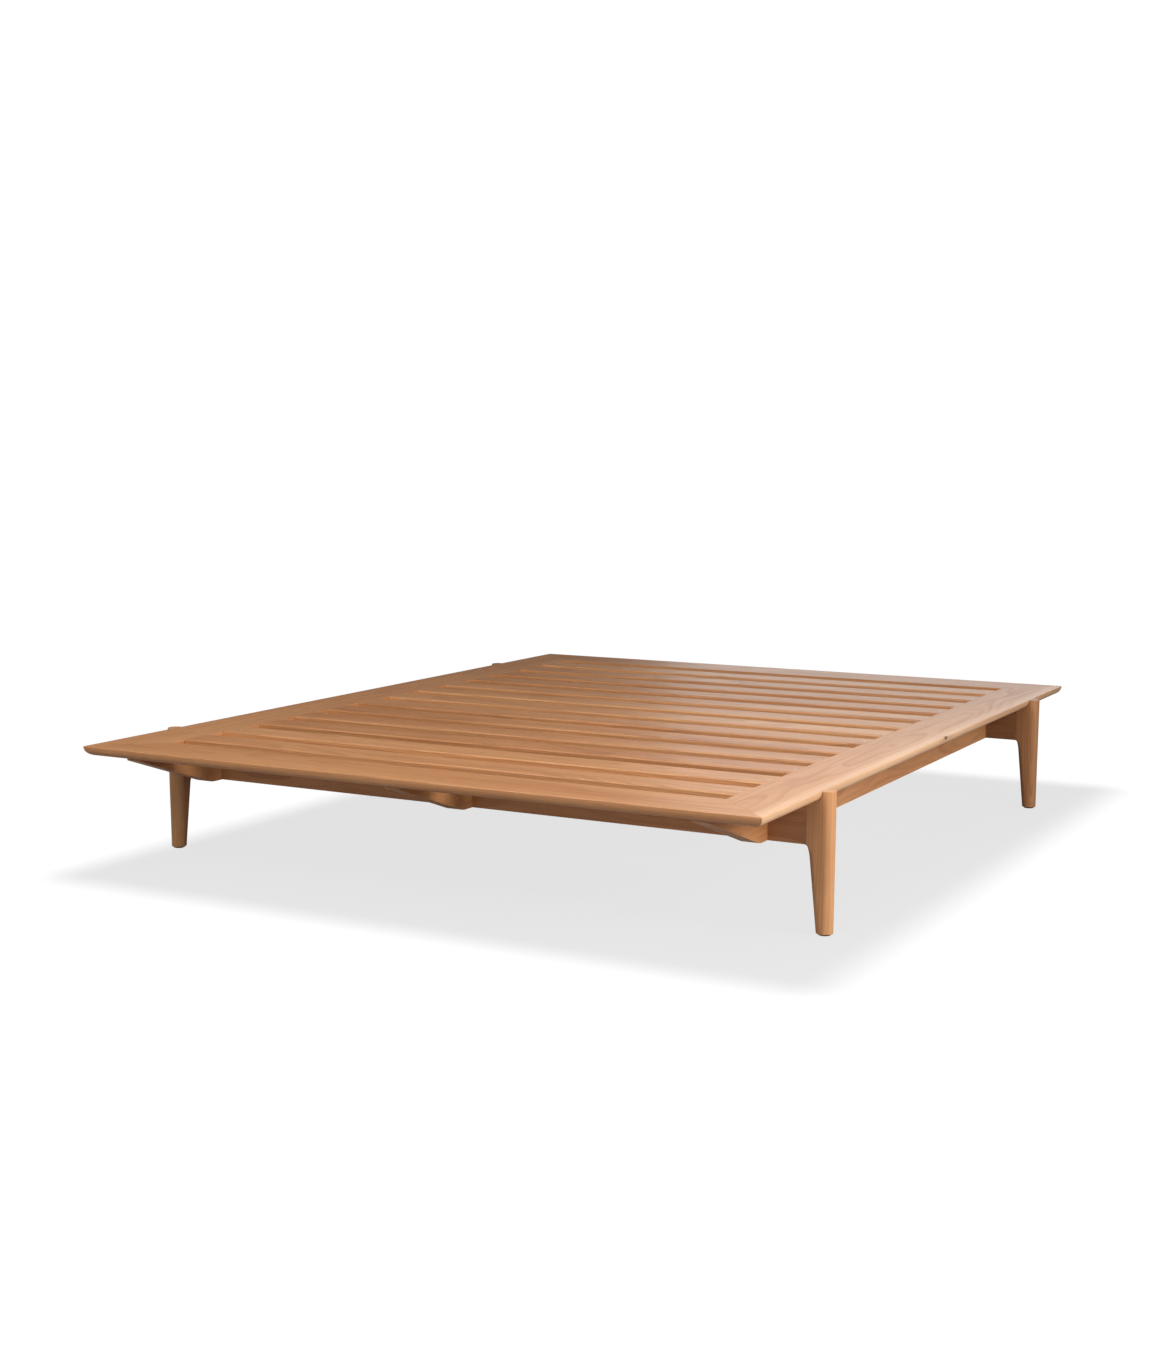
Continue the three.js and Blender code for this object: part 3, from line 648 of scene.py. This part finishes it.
def build_deck():
    knot_point = (DECK_EDGE_X - KNOT_INSET, -DECK_END_Y + KNOT_FROM_FOOT, DECK_TOP - KNOT_DROP)
    # Side, half length, place of (inset, position along, height), grain, seed and shade
    sides = (
        ("right", DECK_END_Y, lambda u, t, z: (DECK_EDGE_X - u, t, z), "Y", 11, 0.02),
        ("left", DECK_END_Y, lambda u, t, z: (u - DECK_EDGE_X, t, z), "Y", 12, 0.05),
        ("head", DECK_EDGE_X, lambda u, t, z: (t, DECK_END_Y - u, z), "X", 13, 0.08),
        ("foot", DECK_EDGE_X, lambda u, t, z: (t, u - DECK_END_Y, z), "X", 14, 0.12),
    )
    for side, half_length, place, grain, seed, shade in sides:
        node = f"{side}_deck_board"
        piece = deck_board(f"{side}_border_board", half_length, place)
        low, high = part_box(node)
        middle = (low + high) / 2
        across = middle.x if grain == "Y" else middle.y
        extras = {"figure": 0.34}
        if side == "right":
            # Paler sapwood along the outer edge, which is also a painted highlight on this lit edge
            extras["sapwood"] = (0, high.x - 0.045, high.x - 0.006)
            extras["knot"] = knot_point
        material = wood(f"cherry_{node}", grain, seed, across, middle.z - 0.11, shade, **extras)
        finish_piece(piece, material, [node])


# ---------------------------------------------------------------- slats

def slat_profile(half_width):
    """Section of a slat as (position across, height), with well-rounded upper edges."""
    top = half_width - SLAT_EDGE_RADIUS
    low = half_width - SLAT_LOWER_RADIUS
    upper = DECK_TOP - SLAT_EDGE_RADIUS
    lower = DECK_BOTTOM + SLAT_LOWER_RADIUS
    return (arc((top, upper), SLAT_EDGE_RADIUS, 0, 90, 6)
            + arc((-top, upper), SLAT_EDGE_RADIUS, 90, 180, 6)
            + arc((-low, lower), SLAT_LOWER_RADIUS, 180, 270, 3)
            + arc((low, lower), SLAT_LOWER_RADIUS, 270, 360, 3))


def slat_screw_places(low, high):
    """Where a slat is screwed down: at both ends and in the middle, as (x, y)."""
    middle_y = (low.y + high.y) / 2
    return [(low.x + SLAT_SCREW_FROM_END, middle_y), (0.0, middle_y),
            (high.x - SLAT_SCREW_FROM_END, middle_y)]


def build_slats():
    screws = bmesh.new()
    cross_cutters = bmesh.new()
    mouth = SLAT_SCREW_HEAD_RADIUS + SLAT_SCREW_CLEARANCE
    countersink = [(0, DECK_TOP - 4 * MM), (SLAT_SCREW_HOLE_RADIUS, DECK_TOP - 4 * MM),
                   (SLAT_SCREW_HOLE_RADIUS, DECK_TOP - 3 * MM), (mouth, DECK_TOP - 0.6 * MM),
                   (mouth, DECK_TOP + 2 * MM), (0, DECK_TOP + 2 * MM)]
    for index in range(1, SLAT_COUNT + 1):
        node = f"slat_{index:02d}"
        low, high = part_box(node)
        middle_y = (low.y + high.y) / 2
        loops = [
            [(x, middle_y + y, z) for y, z in slat_profile((high.y - low.y) / 2)]
            for x in (low.x, high.x)
        ]
        piece = loft(f"{node}_board", loops)
        cutter = bmesh.new()
        for place in slat_screw_places(low, high):
            lathe_into(cutter, countersink, place, SCREW_SIDES)
            add_slat_screw(screws, place)
            add_cross(cross_cutters, place, DECK_TOP + 1 * MM, DECK_TOP - 2.2 * MM)
        boolean_difference(piece, object_from_bmesh("cutter", cutter))
        soften(piece, 0.7 * MM, 2, 50)
        dice = random.Random(SLAT_SEED + index)
        shade = dice.uniform(-0.35, 0.2)
        pith_y = middle_y + dice.uniform(-0.05, 0.05)
        pith_z = DECK_TOP - dice.uniform(0.05, 0.12)
        material = wood(f"cherry_{node}", "X", SLAT_SEED + index, pith_y, pith_z, shade)
        finish_piece(piece, material, [node])
    heads = object_from_bmesh("slat_screws", screws)
    boolean_difference(heads, object_from_bmesh("cutter", cross_cutters))
    soften(heads, 0.12 * MM, 1, 40)
    finish_piece(heads, STEEL)


def add_slat_screw(bm, place):
    """Countersunk screw head just under the slat's face, with a short length of its shank."""
    top = DECK_TOP - SLAT_SCREW_SINK
    radius = SLAT_SCREW_HEAD_RADIUS
    profile = [(0, top), (radius - 0.2 * MM, top), (radius, top - 0.2 * MM),
               (SLAT_SCREW_SHANK_RADIUS, top - SLAT_SCREW_HEAD_DEPTH),
               (SLAT_SCREW_SHANK_RADIUS, top - SLAT_SCREW_LENGTH_SHOWN),
               (0, top - SLAT_SCREW_LENGTH_SHOWN)]
    lathe_into(bm, profile, place, SCREW_SIDES)


def add_cross(bm, place, wide_height, narrow_height):
    """Cutter for a cross recess in a screw head, which narrows from one height to the other."""
    arm, half = CROSS_ARM, CROSS_HALF_WIDTH
    outline = [(arm, -half), (arm, half), (half, half), (half, arm), (-half, arm), (-half, half),
               (-arm, half), (-arm, -half), (-half, -half), (-half, -arm), (half, -arm),
               (half, -half)]
    wide, narrow = [
        [bm.verts.new((place[0] + x * shrink, place[1] + y * shrink, height)) for x, y in outline]
        for shrink, height in ((1.0, wide_height), (CROSS_NARROWING, narrow_height))
    ]
    for i in range(len(outline)):
        j = (i + 1) % len(outline)
        bm.faces.new((wide[i], wide[j], narrow[j], narrow[i]))
    bm.faces.new(wide)
    bm.faces.new(list(reversed(narrow)))


# ---------------------------------------------------------------- rails and beams

def build_underframe():
    for index, side in enumerate(("left", "centre", "right")):
        node = f"{side}_rail"
        soften_cad(node, EDGE_SOFTNESS)
        low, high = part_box(node)
        middle = (low + high) / 2
        material = wood(f"cherry_{node}", "Y", RAIL_SEED + index, middle.x - 0.075,
                        middle.z - 0.01, 0.1)
        finish_cad(node, material)
    for index, end in enumerate(("foot", "head")):
        node = f"{end}_cross_beam"
        soften_cad(node, EDGE_SOFTNESS)
        low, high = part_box(node)
        middle = (low + high) / 2
        scuff = None
        if end == "foot":
            scuff = (middle.x - SCUFF_LEFT, low.y, middle.z - SCUFF_DROP)
        # The beams are darkened as painted shade, the head beam most
        material = wood(f"cherry_{node}", "X", BEAM_SEED + index, middle.y + 0.075,
                        middle.z - 0.012, 0.3, BEAM_PAINTED_LIGHT_AND_SHADE[end], 0.46, scuff=scuff)
        finish_cad(node, material)


# ---------------------------------------------------------------- legs

def ramp(low, high, value, first, last):
    """Goes evenly from first to last while value goes from low to high, and stays there."""
    t = min(max((value - low) / (high - low), 0.0), 1.0)
    return first + (last - first) * t


def leg_inner(z, fillet_start):
    """How far a leg reaches inwards from the deck's edge at a height."""
    straight = LEG_INNER_FOOT + LEG_INNER_SLOPE * min(z, fillet_start)
    rise = min(max(z - fillet_start, 0.0), LEG_FILLET)
    flare = LEG_FILLET - math.sqrt(LEG_FILLET ** 2 - rise ** 2)
    return min(straight + flare, LEG_JOINT_INSET)


def leg_section(side, centre_y, box_low, box_high, fillet_start, z, inset):
    """One rounded horizontal section of a leg, as points of the row frame.

    Its outer side is half round, and its inner corners go from round to nearly square."""
    thick_top = box_high.y - box_low.y
    thickness = LEG_THICKNESS_FOOT + (thick_top - LEG_THICKNESS_FOOT) * min(z / LEG_TAPER_TOP, 1)
    half = thickness / 2 - inset
    outer_top = max(abs(box_low.x), abs(box_high.x)) - DECK_EDGE_X
    outer = LEG_OUTER_FOOT + (outer_top - LEG_OUTER_FOOT) * (z / DECK_TOP) - inset
    inner = leg_inner(z, fillet_start) - inset
    underframe_bottom = fillet_start + LEG_FILLET
    if z < LEG_KNEE:
        roundness = ramp(0.0, LEG_KNEE, z, 1.0, LEG_KNEE_ROUNDNESS)
    else:
        roundness = ramp(LEG_KNEE, underframe_bottom, z, LEG_KNEE_ROUNDNESS, LEG_BLOCK_ROUNDNESS)
    full = min(half, (outer + inner) / 2) - 0.05 * MM
    small = max(full * roundness, 0.9 * MM)
    points = arc((-inner + small, -half + small), small, 180, 270, 14)
    points += arc((outer - full, -half + full), full, 270, 360, 14)
    points += arc((outer - full, half - full), full, 0, 90, 14)
    points += arc((-inner + small, half - small), small, 90, 180, 14)
    return [(side * (DECK_EDGE_X + x), centre_y + side * y, z) for x, y in points]


def cope_cutter(side, centre_y, thickness):
    """Clearance round the deck's rounded edge, as a body to cut from a leg."""
    radius = DECK_EDGE_RADIUS + COPE_GAP
    centre = (-DECK_EDGE_RADIUS, DECK_BOTTOM + DECK_EDGE_RADIUS)
    outline = arc(centre, radius, -90, 0, 24)
    outline += [(centre[0] + radius, DECK_TOP + 5 * MM), (-2 * LEG_JOINT_INSET, DECK_TOP + 5 * MM),
                (-2 * LEG_JOINT_INSET, centre[1] - radius)]
    loops = [
        [(side * (DECK_EDGE_X + x), centre_y + y, z) for x, z in outline]
        for y in (-thickness, thickness)
    ]
    return loft("cutter", loops)


def mortise_cutter(side, centre_y):
    """The hole for a cross beam's tenon, with its gap, as a body to cut from a leg."""
    beam_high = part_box("foot_cross_beam")[1]
    shoulder = DECK_EDGE_X - LEG_JOINT_INSET
    length = beam_high.x - shoulder + TENON_GAP
    half = TENON_HALF_THICKNESS + TENON_GAP
    ends = sorted((side * (shoulder - 5 * MM), side * (shoulder + length)))
    loops = [
        [(ends[0], centre_y - half, z), (ends[1], centre_y - half, z),
         (ends[1], centre_y + half, z), (ends[0], centre_y + half, z)]
        for z in (TENON_BOTTOM - TENON_GAP, TENON_TOP + TENON_GAP)
    ]
    return loft("cutter", loops)


def eased_end(from_end):
    """Levels of a rounded end: (distance from the end, inset of the section), end first."""
    return [(LEG_EASING * (1 - math.sin(a)), LEG_EASING * (1 - math.cos(a)))
            for a in (math.radians(degrees) for degrees in from_end)]


def build_legs():
    fillet_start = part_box("centre_rail")[0].z - LEG_FILLET
    for index, corner in enumerate(("foot_left", "foot_right", "head_left", "head_right")):
        node = f"leg_{corner}"
        low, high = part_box(node)
        side = -1 if "left" in corner else 1
        centre_y = (low.y + high.y) / 2
        levels = [(low.z + rise, inset) for rise, inset in eased_end((90, 67, 45, 22, 0))]
        levels += [(z * MM, 0.0) for z in range(12, int(fillet_start / MM), 6)]
        levels += [(fillet_start + LEG_FILLET * math.sin(math.radians(d)), 0.0)
                   for d in range(0, 91, 9)]
        levels += [(DECK_TOP - drop, inset) for drop, inset in eased_end((0, 22, 45, 67, 90))]
        loops = [leg_section(side, centre_y, low, high, fillet_start, z, inset)
                 for z, inset in levels]
        piece = loft(f"{node}_body", loops)
        boolean_difference(piece, cope_cutter(side, centre_y, high.y - low.y))
        boolean_difference(piece, mortise_cutter(side, centre_y))
        soften(piece, 0.6 * MM, 2, 40)
        middle_x = side * (DECK_EDGE_X + 0.04)
        # Painted light on the foot legs and painted shade on the head legs
        pale_and_painted_light = LEG_PAINTED_LIGHT_AND_SHADE[corner.split("_")[0]]
        material = wood(f"cherry_{node}", "Z", LEG_SEED + index, middle_x, centre_y - 0.065, 0.12,
                        pale_and_painted_light, 0.5)
        finish_piece(piece, material, [node])


# ---------------------------------------------------------------- hardware

def build_bolts():
    """Connector bolts with low rounded heads and hexagon sockets, seen from below."""
    for end in ("foot", "head"):
        for lap in ("left", "centre", "right"):
            node = f"lap_bolt_{end}_{lap}"
            low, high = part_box(node)
            centre = ((low.x + high.x) / 2, (low.y + high.y) / 2)
            head = low.z
            radius = (high.y - low.y) / 2
            bm = bmesh.new()
            profile = [(0, head), (radius - BOLT_HEAD_EASING, head)]
            profile += [(radius - BOLT_HEAD_EASING + x, head + BOLT_HEAD_EASING - y)
                        for x, y in arc((0, 0), BOLT_HEAD_EASING, 90, 0, 5)]
            profile += [(radius, head + BOLT_HEAD_DEPTH),
                        (BOLT_SHANK_RADIUS, head + BOLT_HEAD_DEPTH),
                        (BOLT_SHANK_RADIUS, high.z - BOLT_END_CHAMFER),
                        (BOLT_SHANK_RADIUS - BOLT_END_CHAMFER, high.z), (0, high.z)]
            lathe_into(bm, profile, centre, 40)
            piece = object_from_bmesh(f"{node}_body", bm)
            socket = bmesh.new()
            mouth, end_height = head - 2 * MM, head + BOLT_SOCKET_DEPTH
            lathe_into(socket, [(0, mouth), (BOLT_SOCKET_RADIUS, mouth),
                                (BOLT_SOCKET_RADIUS, end_height), (0, end_height)], centre, 6)
            boolean_difference(piece, object_from_bmesh("cutter", socket))
            soften(piece, 0.15 * MM, 2, 40)
            finish_piece(piece, STEEL, [node])


def build_deck_screws():
    """Round-headed wood screws, driven up through the rails into the border boards."""
    ends = [f"end_screw_{end}_{rail}" for end in ("foot", "head")
            for rail in ("left", "centre", "right")]
    sides = [f"side_screw_{side}_{step}" for side in ("left", "right") for step in (1, 2, 3)]
    for node in ends + sides:
        low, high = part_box(node)
        centre = ((low.x + high.x) / 2, (low.y + high.y) / 2)
        head = low.z
        radius = (high.y - low.y) / 2
        bm = bmesh.new()
        profile = [(0, head), (radius * 0.5, head + 0.1 * MM), (radius * 0.85, head + 0.55 * MM),
                   (radius, head + 1.3 * MM), (radius, head + DECK_SCREW_HEAD_DEPTH),
                   (DECK_SCREW_THREAD_RADIUS, head + DECK_SCREW_HEAD_DEPTH)]
        z = head + 4 * MM
        while z < high.z - 4 * MM:
            profile += [(DECK_SCREW_CORE_RADIUS, z), (DECK_SCREW_THREAD_RADIUS, z + 0.9 * MM),
                        (DECK_SCREW_CORE_RADIUS, z + 1.8 * MM)]
            z += DECK_SCREW_THREAD_PITCH
        profile += [(1.5 * MM, high.z - 3 * MM), (0, high.z)]
        lathe_into(bm, profile, centre, SCREW_SIDES)
        piece = object_from_bmesh(f"{node}_body", bm)
        cutter = bmesh.new()
        add_cross(cutter, centre, head - 1 * MM, head + 1.8 * MM)
        boolean_difference(piece, object_from_bmesh("cutter", cutter))
        finish_piece(piece, STEEL, [node])


def build_glides():
    """Nail-on glides: a moulded disc under each leg, with its nail."""
    nylon = moulded_nylon()
    for corner in ("foot_left", "foot_right", "head_left", "head_right"):
        node = f"glide_{corner}"
        low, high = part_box(node)
        centre = ((low.x + high.x) / 2, (low.y + high.y) / 2)
        radius = (high.y - low.y) / 2
        bm = bmesh.new()
        profile = [(0, low.z), (radius - GLIDE_EASING, low.z)]
        profile += [(radius - GLIDE_EASING + x, low.z + GLIDE_EASING - y)
                    for x, y in arc((0, 0), GLIDE_EASING, 90, 0, 5)]
        profile += [(radius, GLIDE_DISC_TOP - GLIDE_CHAMFER),
                    (radius - GLIDE_CHAMFER, GLIDE_DISC_TOP),
                    (GLIDE_NAIL_RADIUS, GLIDE_DISC_TOP),
                    (GLIDE_NAIL_RADIUS, high.z - 2 * MM), (0, high.z)]
        lathe_into(bm, profile, centre, 48)
        piece = object_from_bmesh(f"{node}_disc", bm)
        soften(piece, 0.1 * MM, 1, 50)
        finish_piece(piece, nylon, [node])


def dress_hidden_pieces():
    """Materials of the inserts and the loose tenons, which keep their CAD shape."""
    for end in ("foot", "head"):
        for lap in ("left", "centre", "right"):
            finish_cad(f"lap_insert_{end}_{lap}", BRASS)
        for side in ("left", "right"):
            node = f"mitre_tenon_{end}_{side}"
            low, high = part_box(node)
            material = wood(f"beech_{node}", "X", TENON_SEED, low.y, low.z - 0.05, -0.4, 0.2)
            finish_cad(node, material)


# ---------------------------------------------------------------- stage

def build_floor():
    """A plain white floor with a painted soft grey shadow under the bed, which only the camera sees."""
    bm = bmesh.new()
    corners = [(-1, -1), (1, -1), (1, 1), (-1, 1)]
    bm.faces.new([bm.verts.new((FLOOR_HALF_SIZE * x, FLOOR_HALF_SIZE * y, cad_low.z))
                  for x, y in corners])
    floor = object_from_bmesh("studio_floor", bm)
    material = bpy.data.materials.new("studio_floor")
    material.use_nodes = True
    tree = material.node_tree
    tree.nodes.clear()
    n = Nodes(tree)
    seen = n.add("ShaderNodeBsdfDiffuse")
    seen.inputs["Color"].default_value = rgb(0.04, 0.04, 0.04)
    glow_with_painted_shadow = n.add("ShaderNodeEmission")
    glow_with_painted_shadow.inputs["Color"].default_value = rgb(1, 1, 1)
    split = n.add("ShaderNodeSeparateXYZ")
    n.feed(split.inputs[0], n.add("ShaderNodeTexCoord").outputs["Object"])
    # The floor's glow is lowered in a soft box round the bed: a painted shadow
    from_middle = n.math("ABSOLUTE", n.math("SUBTRACT", split.outputs[0], PAINTED_SHADOW_SHIFT))
    beside = n.math("SUBTRACT", from_middle, DECK_EDGE_X + PAINTED_SHADOW_MARGIN)
    beyond = n.math("SUBTRACT", n.math("ABSOLUTE", split.outputs[1]), DECK_END_Y)
    outside = n.add("ShaderNodeVectorMath", operation="LENGTH")
    n.feed(outside.inputs[0], n.combine(n.math("MAXIMUM", beside, 0.0),
                                        n.math("MAXIMUM", beyond, 0.0), 0.0))
    n.feed(glow_with_painted_shadow.inputs["Strength"],
           n.span(outside.outputs["Value"], 0.0, PAINTED_SHADOW_FADE, PAINTED_SHADOW_BRIGHTNESS, 1.0))
    both = n.add("ShaderNodeAddShader")
    n.feed(both.inputs[0], seen.outputs[0])
    n.feed(both.inputs[1], glow_with_painted_shadow.outputs[0])
    bounce = n.add("ShaderNodeBsdfDiffuse")
    bounce.inputs["Color"].default_value = rgb(0.32, 0.31, 0.30)
    choose = n.add("ShaderNodeMixShader")
    n.feed(choose.inputs[0], n.add("ShaderNodeLightPath").outputs["Is Camera Ray"])
    n.feed(choose.inputs[1], bounce.outputs[0])
    n.feed(choose.inputs[2], both.outputs[0])
    n.feed(n.add("ShaderNodeOutputMaterial").inputs["Surface"], choose.outputs[0])
    floor.data.materials.append(material)


def build_world():
    """A white surround for the camera and a faint warm fill for everything else."""
    world = bpy.data.worlds.new("studio")
    bpy.context.scene.world = world
    world.use_nodes = True
    tree = world.node_tree
    tree.nodes.clear()
    n = Nodes(tree)
    seen = n.add("ShaderNodeBackground")
    seen.inputs["Color"].default_value = rgb(1, 1, 1)
    seen.inputs["Strength"].default_value = 1.0
    light = n.add("ShaderNodeBackground")
    light.inputs["Color"].default_value = rgb(1.0, 0.985, 0.97)
    light.inputs["Strength"].default_value = 0.12
    choose = n.add("ShaderNodeMixShader")
    n.feed(choose.inputs[0], n.add("ShaderNodeLightPath").outputs["Is Camera Ray"])
    n.feed(choose.inputs[1], light.outputs[0])
    n.feed(choose.inputs[2], seen.outputs[0])
    n.feed(n.add("ShaderNodeOutputWorld").inputs["Surface"], choose.outputs[0])


def area_light(name, place, target, size, power, spread=180):
    """A rectangular lamp aimed at a point, with its power in watts and its spread in degrees."""
    data = bpy.data.lights.new(name, "AREA")
    data.shape = "RECTANGLE"
    data.size, data.size_y = size
    data.energy = power
    data.spread = math.radians(spread)
    lamp = bpy.data.objects.new(name, data)
    bpy.context.scene.collection.objects.link(lamp)
    lamp.location = place
    lamp.rotation_mode = "QUATERNION"
    lamp.rotation_quaternion = (Vector(target) - Vector(place)).to_track_quat("-Z", "Y")


def build_lights():
    area_light("key_right", (3.2, -1.1, 1.5), (0.7, -0.9, 0.2), (1.6, 1.2), 25, 100)
    area_light("side_right", (3.6, 0.6, 1.0), (0.8, -0.2, 0.2), (1.6, 1.0), 14, 130)
    area_light("overhead", (0.4, -1.6, 2.9), (0.1, -0.6, 0.2), (3.4, 2.6), 56)
    area_light("high_front", (-0.1, -3.4, 2.4), (0.0, -0.9, 0.2), (3.0, 1.4), 64)
    area_light("low_front", (-1.6, -6.0, 0.9), (0.0, -0.8, 0.2), (4.0, 1.2), 8)
    area_light("backlight", (-0.7, 6.2, 1.5), (0.5, 0.0, 0.3), (4.2, 1.6), 46)


def build_camera():
    """The camera the frame is looked at with."""
    data = bpy.data.cameras.new("camera")
    data.lens = CAMERA_LENS
    data.sensor_width = 36.0
    data.clip_start = 0.05
    data.clip_end = 200.0
    camera = bpy.data.objects.new("camera", data)
    bpy.context.scene.collection.objects.link(camera)
    forward = Vector((-math.sin(CAMERA_YAW) * math.cos(CAMERA_PITCH),
                      math.cos(CAMERA_YAW) * math.cos(CAMERA_PITCH),
                      -math.sin(CAMERA_PITCH)))
    camera.location = CAMERA_POSITION
    camera.rotation_mode = "QUATERNION"
    camera.rotation_quaternion = forward.to_track_quat("-Z", "Y")
    bpy.context.scene.camera = camera


STEEL = metal("zinc_steel", rgb(0.62, 0.62, 0.6), 0.3, 900.0)
BRASS = metal("insert_brass", rgb(0.62, 0.44, 0.2), 0.32, 700.0)

build_camera()
build_world()
build_lights()
build_floor()
build_deck()
build_slats()
build_underframe()
build_legs()
build_bolts()
build_deck_screws()
build_glides()
dress_hidden_pieces()

bpy.context.scene.view_settings.view_transform = "Standard"
bpy.context.scene.view_settings.look = "None"
